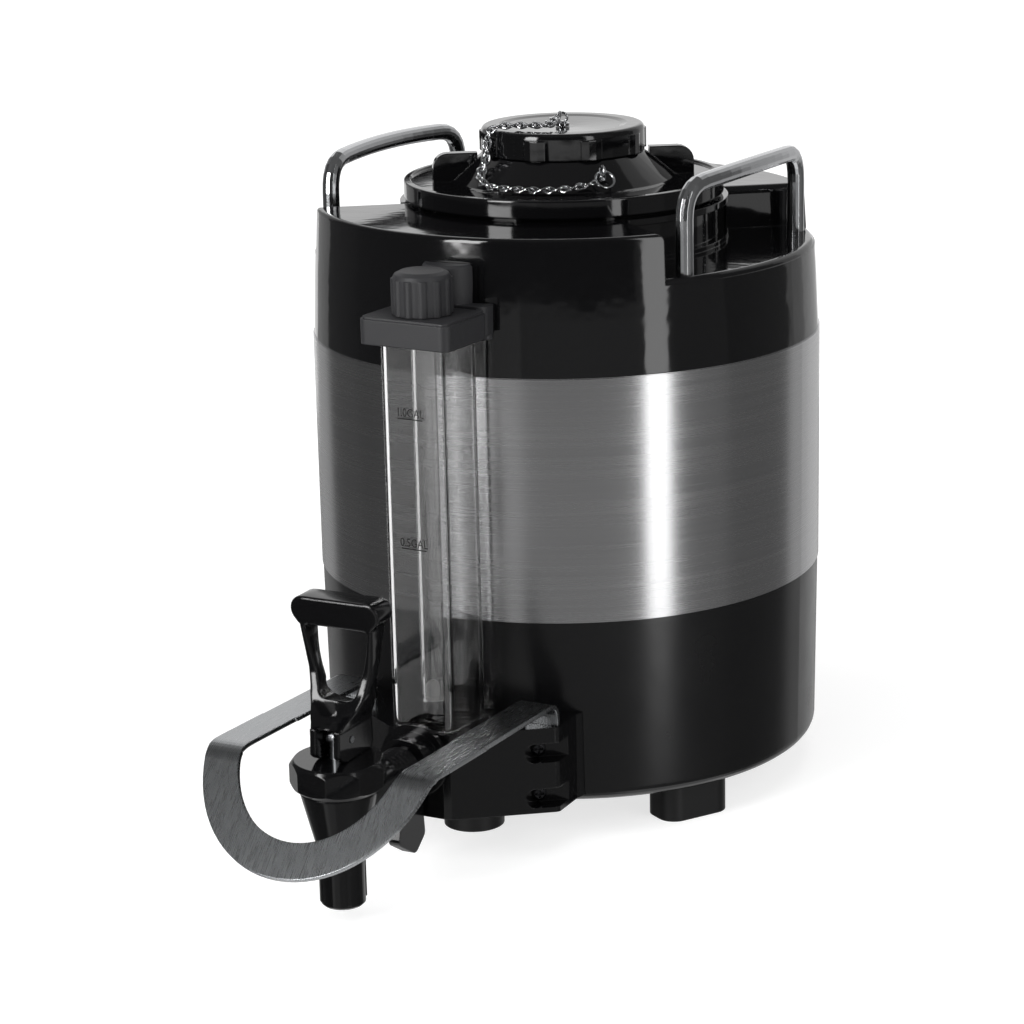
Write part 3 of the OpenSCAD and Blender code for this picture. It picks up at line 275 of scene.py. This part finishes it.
def make_piece(name, points, faces, mat, slot, smooth=True):
    """A mesh piece from whole arrays with the material mat; slot is not used. smooth is one value for
    all faces or one for each."""
    piece = new_object(name, points.reshape(-1, 3).tolist(), [list(f) for f in faces], mat)
    mesh = piece.data
    mesh.polygons.foreach_set("use_smooth", np.broadcast_to(smooth, len(mesh.polygons)).tolist())
    mesh.update()
    return piece


# ------------------------------------------------------------------ chain
# The chain's middle line in mm and degrees: distance from the body's axis, angle, and height over
# the face that it lies on, first the cap's rim, then the lid.
ON_CAP = np.array([
    [3.2, -100, 2.8], [8, -92, 0.4], [14, -84, 0], [20, -90, 0.1], [26, -103, 0.4], [32, -112, 0.7],
    [37, -117, 0.5], [40.3, -119, -1], [41.6, -119.6, -3.8], [42.2, -119.6, -8], [43, -119, -13],
    [45, -117.6, -17]])
ON_LID = np.array([
    [49, -115, 5], [52, -110.6, 2.6], [54.4, -105, 1], [55, -99, 0.6], [55, -92, 0.6],
    [55, -85, 0.6], [55, -78, 0.6], [55, -71, 0.7], [54.8, -64, 1], [54, -57, 1.8],
    [53, -52.4, 2.6], [52.4, -49.4, 3]])


def chain_route(over_cap=1.75, over_lid=2.0):
    """Points of the chain's middle line from the cap's stud to the ring on the lid: the same polar
    points as the source's tube, but for the first, 0.6 mm lower, each raised by the height at which
    the chain rests on that face. Each corner is cut at a quarter and three quarters, three times."""
    polar = np.concatenate([ON_CAP, ON_LID])
    base = np.repeat([CAP_TOP * 1000 + over_cap, LID_FACE * 1000 + over_lid],
                     [len(ON_CAP), len(ON_LID)])
    angle = np.radians(polar[:, 1])
    p = np.stack([polar[:, 0] * np.cos(angle), polar[:, 0] * np.sin(angle), base + polar[:, 2]], 1)
    p = p / 1000 + [0, AXIS_Y, 0]
    for _ in range(3):
        a, b = p[:-1], p[1:]
        cut = np.stack([0.75 * a + 0.25 * b, 0.25 * a + 0.75 * b], 1).reshape(-1, 3)
        p = np.concatenate([p[:1], cut, p[-1:]])
    return p


def curb_chain(pitch=0.0035, length=0.0060, width=0.0041, wire=0.0006, around=20, sides=8,
               roll=math.radians(24), twist=math.radians(64), look=0.001):
    """Links along the route. A link is an oval of wire: its middle line at a is
    (length/2 cos a, width/2 sin a), and the wire's round section stands square to it. The link
    turns about the route by twist from end to end, and neighbours are rolled to and fro by roll, as
    in a curb chain. The route's direction t is taken between points `look` ahead and behind. side is
    t x up, or t x the direction away from the body's axis where the route is steep, and lift is
    side x t. (t, side, lift) is left-handed, so the quads are turned over."""
    route = chain_route()
    steps = np.linalg.norm(np.diff(route, axis=0), axis=1)
    along = np.concatenate([[0], np.cumsum(steps)])
    count = int(along[-1] / pitch)
    s = (np.arange(count) + 0.5) * along[-1] / count
    mid, ahead, back = (np.stack([np.interp(s + d, along, route[:, k]) for k in range(3)], 1)
                        for d in (0, look, -look))
    t = (ahead - back) / np.linalg.norm(ahead - back, axis=1, keepdims=True)
    out = (mid - [0, AXIS_Y, 0]) * [1, 1, 0]
    out /= np.linalg.norm(out, axis=1, keepdims=True)
    side = np.cross(t, np.where(np.abs(t[:, 2:]) > 0.7, out, [[0, 0, 1.0]]))
    side /= np.linalg.norm(side, axis=1, keepdims=True)
    lift = np.cross(side, t)

    a = np.arange(around) * TAU / around
    b = np.arange(sides) * TAU / sides
    nx, ny = np.cos(a) * width, np.sin(a) * length
    n = np.hypot(nx, ny)
    px = (length / 2 * np.cos(a))[:, None] + wire * np.cos(b) * (nx / n)[:, None]
    py = (width / 2 * np.sin(a))[:, None] + wire * np.cos(b) * (ny / n)[:, None]
    pz = np.broadcast_to(wire * np.sin(b), px.shape)
    turn = np.where(np.arange(count) % 2, roll, -roll)[:, None, None] + px / length * twist
    qy = py * np.cos(turn) - pz * np.sin(turn)
    qz = py * np.sin(turn) + pz * np.cos(turn)
    points = (mid[:, None, None] + px[None, :, :, None] * t[:, None, None]
              + qy[..., None] * side[:, None, None] + qz[..., None] * lift[:, None, None])
    quads = ring_faces(around, sides)[:, [0, 3, 2, 1]]
    first = np.arange(count) * around * sides
    return points, (quads + first[:, None, None]).reshape(-1, 4)


chain = make_piece("curb_chain", *curb_chain(), NICKEL, "nickel_chain")
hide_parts("cap_chain")
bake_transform(chain)


# ------------------------------------------------------------------ spring
def stem_coil(radius=0.0054, wire=0.00055, z0=0.05555, z1=0.06735, turns=5.5, level=0.09,
              rows=221, sides=8):
    """Coil round the stem. At s from 0 to 1 its middle line turns by turns * s and rises from z0 to
    z1 with (s - level) / (1 - 2 level), so that its ends lie flat."""
    s = np.linspace(0, 1, rows)
    rise = z0 + (z1 - z0) * np.clip((s - level) / (1 - 2 * level), 0, 1)
    a, b = TAU * turns * s, np.arange(sides) * TAU / sides
    reach = radius + wire * np.cos(b)
    points = np.stack([reach * np.cos(a)[:, None], LEVER_PIN[1] + reach * np.sin(a)[:, None],
                       rise[:, None] + wire * np.sin(b)], -1)
    ends = [list(range(sides)), list(range((rows - 1) * sides, rows * sides))[::-1]]
    return points, tube_faces(rows, sides) + ends


coil = make_piece("stem_coil", *stem_coil(), DRAWN, "spring_wire")
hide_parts("stem_spring")
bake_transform(coil)


# ------------------------------------------------------------------ lever
# Half outline of the grip in front view, in mm from the pin, from the top's middle to the foot's:
# outer x and z, then window x and z.
GRIP = np.array([
    [0, 60, 0, 47.6], [5, 60, 5, 47.6], [10.5, 60, 10, 47.6], [15.8, 60, 13, 47.5],
    [18.5, 59.28, 14, 47.3], [20.48, 57.3, 14.7, 46.7], [21.2, 54.6, 15, 46.1],
    [20.48, 51.9, 15.1, 45.5], [18.9, 50.18, 15.1, 44.9], [17.9, 49.2, 15.05, 44.3],
    [17.5, 48.2, 15, 43.7], [17.3, 46.5, 14.8, 42.6], [17, 43.8, 14.4, 41],
    [16.7, 40.5, 13.95, 38.8], [16.3, 37, 13.4, 36.3], [15.9, 33.4, 12.65, 33],
    [15.3, 29.5, 11.6, 29.4], [14.7, 25.8, 10.5, 25.3], [13.9, 21.8, 9.6, 21.4],
    [13.1, 18, 8.7, 18.6], [11.6, 14.5, 7, 17], [10, 11.2, 5, 16.3], [8.1, 8, 3.4, 16.2],
    [7.2, 5.4, 2.2, 16.2], [6.4, 5, 1.4, 16.2], [3.4, 5, 0.7, 16.2], [0, 5, 0, 16.2]])
# Height over the pin in mm, then the front face, the rear face, the half width and the depth of the
# hollow there.
SIDE = np.array([
    [5, -10.3, 18, 7.1, 0], [5.8, -10.1, 18, 7.2, 4], [7.6, -9.4, 17.6, 7.9, 8],
    [10, -6.6, 16.6, 9.2, 6], [12.2, -4, 15.3, 10.6, 4], [14.7, -1.8, 14, 11.8, 2],
    [18.6, 1, 12.7, 13.2, 0], [21.7, 2.2, 11.8, 13.9, 0], [28, 3.8, 11.2, 15, 0],
    [35, 3.2, 12.2, 16.1, 0], [39, 2.7, 12.8, 16.6, 0], [45, 2, 13.5, 17.1, 0],
    [60, 1.2, 14, 21.2, 0]])
# Height over the pin in mm and how much wider the window is at its rear edge there, on each side.
FLARE = np.array([[15, 4], [18, 3], [22, 1.2], [40, 0.8], [46, 0.2], [47.5, 0]])
# The pull bar in mm: where its face begins to step out over the pin, over what height, and how far.
BAR = (47.4, 1.2, 0.4)


def side_at(z, column):
    """A column of SIDE at the heights z, averaged over 2 mm up and down so that it has no crease."""
    return sum(np.interp(z + d, SIDE[:, 0], SIDE[:, column]) for d in (-2, -1.2, -0.4, 0.4, 1.2, 2)) / 6


def grip_section(out, inner):
    """Section from the window to the outer edge, as fractions across, extra mm across, depth in mm
    from the face, and 1 on the rear face, else 0. Corners are quarter circles of radius out at the
    outer edge and inner at the window."""
    arc = np.radians(np.arange(18, 91, 18))
    flat = np.linspace(0, 1, 17)
    half = np.concatenate([np.stack([flat, 0 * flat, 0 * flat], 1),
                           np.stack([1 + 0 * arc, out * np.sin(arc), out * (1 - np.cos(arc))], 1)])
    hole = np.stack([0 * arc, -inner * np.sin(arc), inner * (1 - np.cos(arc))], 1)
    return np.concatenate([np.insert(part, 3, rear, axis=1) for part, rear in
                           ((half, 0), (half[::-1], 1), (hole, 1), (hole[::-1], 0))])


def grip_ring(steps=4, out=1.1, inner=0.6):
    """Ring round the finger window: at t round the loop a Catmull-Rom curve, with that many steps
    between points, gives an outer and a window point, and grip_section lies between them. The
    window widens to the rear by FLARE. Below it the front face is hollowed by
    depth * (1 - (x / half width)^2), and the bar stands proud by a smooth step."""
    loop = np.concatenate([GRIP, GRIP[-2:0:-1] * [-1, 1, -1, 1]])
    t = np.arange(len(loop) * steps) / steps
    i = t.astype(int)
    u = (t - i)[:, None]
    a, b, c, d = (loop[(i + k) % len(loop)] for k in (-1, 0, 1, 2))
    curve = 0.5 * (2 * b + (c - a) * u + (2 * a - 5 * b + 4 * c - d) * u ** 2
                   + (3 * b - a - 3 * c + d) * u ** 3)
    away = curve[:, :2] - curve[:, 2:]
    span = np.linalg.norm(away, axis=1, keepdims=True)
    away /= span
    flare = np.interp(curve[:, 3:], FLARE[:, 0], FLARE[:, 1])
    across, extra, depth, rear = grip_section(out, inner).T
    shift = inner + (span - inner - out) * across + extra + rear * (1 - across) * flare
    x, z = (curve[:, 2 + k, None] + away[:, k, None] * shift for k in (0, 1))
    foot, rise, proud = BAR
    step = np.clip((z - foot) / rise, 0, 1)
    hollow = side_at(z, 4) * np.clip(1 - (x / side_at(z, 3)) ** 2, 0, 1)
    front = side_at(z, 1) + hollow - proud * step * step * (3 - 2 * step)
    y = np.where(rear > 0, side_at(z, 2) - depth, front + depth)
    return np.stack([x, y, z], -1).reshape(-1, 3), ring_faces(len(t), len(across)).tolist()


def prong(side, rest=8.85, lift=3, inside=4.3, outside=7.1):
    """One cheek of the fork, from x = inside to outside on one side. Its front edge is the involute
    that lifts the stem by `lift` mm a radian: at the angle a it is h = rest + lift a from the pin,
    y = -h sin a - lift cos a and z = -h cos a + lift sin a."""
    a = np.radians(np.arange(0, 51, 5))
    h = rest + lift * a
    cam = np.stack([-h * np.sin(a) - lift * np.cos(a), -h * np.cos(a) + lift * np.sin(a)], 1)
    edge = np.concatenate([[[16, -rest]], cam, [[-10.3, 2], [-10.3, 6], [17.3, 6], [17.5, 2],
                                                [18, -6]]])
    n = len(edge)
    points = np.concatenate([np.insert(edge, 0, side * x, axis=1) for x in (inside, outside)])
    faces = tube_faces(2, n) + [list(range(n)), list(range(n, 2 * n))[::-1]]
    return points, [face[::side] for face in faces]


def boss(sides=24):
    """Small round boss in the hollow, whose axis falls to the rear by 45 degrees. At the angle a of
    a ring of radius r and depth h, y = -1.2 + 0.7 (h + r sin a) and z = 7.6 + 0.7 (r sin a - h).
    The rings are the rim's two edges and the root."""
    a = np.arange(sides) * TAU / sides
    rings = [np.stack([r * np.cos(a), -1.2 + 0.7 * (h + r * np.sin(a)),
                       7.6 + 0.7 * (r * np.sin(a) - h)], 1)
             for r, h in ((1.6, -1.15), (1.9, -0.9), (1.9, 3.0))]
    return np.concatenate(rings), tube_faces(len(rings), sides) + [list(range(sides))]


def lever():
    """Grip, cheeks and boss in one mesh, placed at the pin. Only the grip is shaded smooth."""
    points, faces, smooth = np.zeros((0, 3)), [], []
    for shape, rounded in ((grip_ring(), True), (prong(1), False), (prong(-1), False),
                           (boss(), False)):
        faces += [[v + len(points) for v in face] for face in shape[1]]
        smooth += [rounded] * len(shape[1])
        points = np.concatenate([points, shape[0]])
    piece = make_piece("lever_grip", points / 1000 + LEVER_PIN, faces, LEVER, "satin_black", smooth)
    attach(piece, "lever")
    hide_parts("faucet_lever")


lever()


# ------------------------------------------------------------------ printed gauge marks
FILM = 0.00003           # half thickness of the ink
FIGURE = 0.0053          # size of the figures
NARROW = 0.86            # width of the figures as a share of the font's own
LINE = (0.0064, 0.0005)  # half length and thickness of a mark's line
GAP = 0.0008             # between the line and its figure


def printed_mark(name, height, label):
    """A level line with its figure above it, 0.06 mm proud of the shield's front face. It is drawn
    facing -Y and turned with the shield: (x, y) becomes (x cos g - y sin g, x sin g + y cos g)."""
    face = -SHIELD_HALF - FILM
    text = bpy.data.curves.new(name + "_figure", "FONT")
    text.body = label
    text.size = FIGURE
    text.align_x = "CENTER"
    text.extrude = FILM
    letters = bpy.data.objects.new(name + "_figure", text)
    bpy.context.scene.collection.objects.link(letters)
    bpy.context.view_layer.update()
    flat = bpy.data.meshes.new_from_object(letters)
    bpy.data.objects.remove(letters)
    co = np.zeros(len(flat.vertices) * 3)
    flat.vertices.foreach_get("co", co)
    co = co.reshape(-1, 3)
    faces = [list(p.vertices) for p in flat.polygons]
    bpy.data.meshes.remove(flat)
    co = np.stack([co[:, 0] * NARROW, face - co[:, 2], height + GAP + co[:, 1]], 1)
    w, h = LINE
    line = np.array([[x, face + y, height + z] for x in (-w, w) for y in (-FILM, FILM) for z in (-h, 0)])
    cube = [[0, 1, 3, 2], [4, 6, 7, 5], [0, 4, 5, 1], [2, 3, 7, 6], [0, 2, 6, 4], [1, 5, 7, 3]]
    faces += [[v + len(co) for v in f] for f in cube]
    co = np.concatenate([co, line])
    c, s = math.cos(GAUGE_TURN), math.sin(GAUGE_TURN)
    co[:, :2] = co[:, :2] @ [[c, s], [-s, c]] + SHIELD_MID
    piece = new_object(name, co.tolist(), faces, INK)
    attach(piece, "urn")


printed_mark("mark_full", 0.203, "1.0GAL")
printed_mark("mark_half", 0.1445, "0.5GAL")


# ------------------------------------------------------------------ stage, lamps and camera
WHITE = (1, 1, 1, 1)

# Glowing grey cards, painted reflections of a dark studio that only mirroring faces see: azimuth from
# and to in degrees, counted as the camera's, height from and to and distance from the axis in metres,
# and brightness of the glow.
GLOW_CARDS = (
    (-17, -8, -1.5, 0.203, 0.62, 0.55), (-8, 8, -1.5, 0.204, 0.62, 0.38),
    (8, 56, -1.5, 0.205, 0.62, 0.25), (-128, -108, -2.5, 3.0, 2.2, 0.38),
    (-108, -80, -2.5, 3.0, 2.2, 0.09), (-80, -17, -2.5, 3.0, 2.2, 0.075),
    (-17, 56, 0.0, 3.0, 2.2, 0.05), (56, 100, -2.5, 3.0, 2.2, 0.17),
    (100, 142, -2.5, 3.0, 2.2, 0.12), (142, 160, -2.5, 3.0, 2.2, 0.42),
    (160, 188, -2.5, 3.0, 2.2, 0.60), (188, 232, -2.5, -0.34, 2.2, 0.30),
)


def rays(tree, *kinds):
    """1 for the kinds of ray named, else 0."""
    path = add(tree, "ShaderNodeLightPath").outputs
    total = path[kinds[0]]
    for kind in kinds[1:]:
        total = add(tree, "ShaderNodeMath", {0: total, 1: path[kind]}, operation="MAXIMUM").outputs[0]
    return total


def hang_glow_card(name, points, faces, level):
    """A card glowing at one even brightness that lights nothing and that only reflections see: a painted
    reflection.
    """
    mat, tree, out = new_material("card_%s" % name)
    card = add(tree, "ShaderNodeEmission", {"Color": WHITE, "Strength": level})
    tree.links.new(card.outputs[0], out.inputs["Surface"])
    obj = new_object("card_%s" % name, points, faces, mat)
    obj.visible_camera = obj.visible_diffuse = obj.visible_transmission = obj.visible_shadow = False


def floor():
    """Pale floor that glows white far from the object. Only the camera and clear pieces see the
    glow, so that it lights nothing."""
    mat, tree, out = new_material("pale_floor")
    place = add(tree, "ShaderNodeTexCoord").outputs["Object"]
    far = add(tree, "ShaderNodeVectorMath", {0: place}, operation="LENGTH")
    glow = add(tree, "ShaderNodeMapRange",
               {"Value": far.outputs["Value"], "From Min": 0.35, "From Max": 1.1,
                "To Min": 0.72, "To Max": 1.0})
    white = add(tree, "ShaderNodeEmission", {"Color": WHITE, "Strength": glow.outputs[0]})
    lit = add(tree, "ShaderNodeBsdfDiffuse", {"Color": srgb("#b0b0b0")})
    both = add(tree, "ShaderNodeAddShader", {0: lit.outputs[0], 1: white.outputs[0]})
    plain = add(tree, "ShaderNodeBsdfDiffuse", {"Color": srgb("#d8d8d8")})
    mix = add(tree, "ShaderNodeMixShader", {0: rays(tree, "Is Camera Ray", "Is Transmission Ray"),
                                            1: plain.outputs[0], 2: both.outputs[0]})
    tree.links.new(mix.outputs[0], out.inputs["Surface"])
    obj = new_object("floor", [(-4, -4, 0), (4, -4, 0), (4, 4, 0), (-4, 4, 0)], [(0, 1, 2, 3)], mat)
    obj.visible_glossy = False
    obj.visible_shadow = False


def surroundings():
    """White surroundings for the camera, mirroring and clear faces, which light the rest dimly."""
    world = bpy.data.worlds.new("studio")
    bpy.context.scene.world = world
    world.use_nodes = True
    tree = world.node_tree
    tree.nodes.clear()
    out = add(tree, "ShaderNodeOutputWorld")
    room = add(tree, "ShaderNodeBackground", {"Color": WHITE, "Strength": 0.3})
    clean = add(tree, "ShaderNodeBackground", {"Color": WHITE, "Strength": 1.0})
    seen = rays(tree, "Is Camera Ray", "Is Glossy Ray", "Is Transmission Ray")
    mix = add(tree, "ShaderNodeMixShader", {0: seen, 1: room.outputs[0], 2: clean.outputs[0]})
    tree.links.new(mix.outputs[0], out.inputs["Surface"])


def studio():
    """Floor, surroundings, and glowing grey cards all round, painted reflections that only the mirroring
    faces see, as cards are set round polished black and steel. The cards leave the white open low behind
    the object."""
    floor()
    surroundings()
    for k, (start, end, z0, z1, away, level) in enumerate(GLOW_CARDS):
        turn = np.radians(np.linspace(start, end, 17))
        ring = [(away * math.sin(a), AXIS_Y - away * math.cos(a), z) for a in turn for z in (z0, z1)]
        hang_glow_card(k, ring, [(2 * i, 2 * i + 1, 2 * i + 3, 2 * i + 2) for i in range(16)], level)
    # Glowing roof card seen only in reflections: a painted reflection of a dark ceiling over the tops.
    roof = [(-2.3, -2.3, 3), (2.3, -2.3, 3), (2.3, 2.4, 3), (-2.3, 2.4, 3)]
    hang_glow_card("roof", roof, [(0, 1, 2, 3)], 0.13)


def lamp(name, azimuth, distance, height, width, tall, watts, lean=0.0, mirrored=True):
    """An oblong soft lamp that faces the body's axis from that azimuth, counted as the camera's is,
    and looks down by lean degrees. Where it isn't mirrored, a cloth hides it from the polished
    faces and it only lights."""
    light = bpy.data.lights.new(name, "AREA")
    light.shape = "RECTANGLE"
    light.size, light.size_y, light.energy = width, tall, watts
    obj = bpy.data.objects.new(name, light)
    bpy.context.scene.collection.objects.link(obj)
    a = math.radians(azimuth)
    obj.location = (distance * math.sin(a), AXIS_Y - distance * math.cos(a), height)
    obj.rotation_euler = (math.radians(90 - lean), 0, a)
    obj.visible_glossy = mirrored


studio()
# azimuth in degrees, then distance, height, width and length in metres, then watts
lamp("strip_right", 64.8, 1.5, 0.575, 0.29, 2.05, 5.9)
lamp("window_left", -19.5, 1.7, 0.885, 0.50, 1.43, 26)
lamp("wide_left", -60, 1.6, 0.8, 0.9, 1.4, 14, lean=15, mirrored=False)
lamp("wide_right", 80, 1.6, 0.8, 0.9, 1.4, 10, lean=15, mirrored=False)
lamp("top", 20, 0.5, 1.9, 1.4, 1.4, 14, lean=75, mirrored=False)


def view_camera(azimuth=math.radians(26), pan=-0.0201, tilt=0.2713, roll=-0.0229,
                place=(0, -1.3797, 0.5058), lens=104.05546875, sensor=36):
    """Long lens, in mm, 1.38 m from the axis and 26 degrees round to the right of the faucet's
    plane. Its direction is a pan, a tilt and a roll in radians from the level line to the axis."""
    fwd = np.array([math.sin(pan) * math.cos(tilt), math.cos(pan) * math.cos(tilt), -math.sin(tilt)])
    right = np.cross(fwd, [0, 0, 1])
    right /= np.linalg.norm(right)
    up = np.cross(right, fwd)
    x = right * math.cos(roll) + up * math.sin(roll)
    y = -right * math.sin(roll) + up * math.cos(roll)
    c, s = math.cos(azimuth), math.sin(azimuth)
    turn = np.array([[c, -s, 0], [s, c, 0], [0, 0, 1]])
    m = np.eye(4)
    m[:3, 0], m[:3, 1], m[:3, 2] = turn @ x, turn @ y, -(turn @ fwd)
    m[:3, 3] = turn @ place + [0, AXIS_Y, 0]
    cam = bpy.data.cameras.new("camera")
    cam.lens = lens
    cam.sensor_width = sensor
    cam.clip_end = 30
    obj = bpy.data.objects.new("camera", cam)
    bpy.context.scene.collection.objects.link(obj)
    obj.matrix_world = Matrix(m.tolist())
    bpy.context.scene.camera = obj


view_camera()
bpy.context.scene.view_settings.view_transform = "Standard"
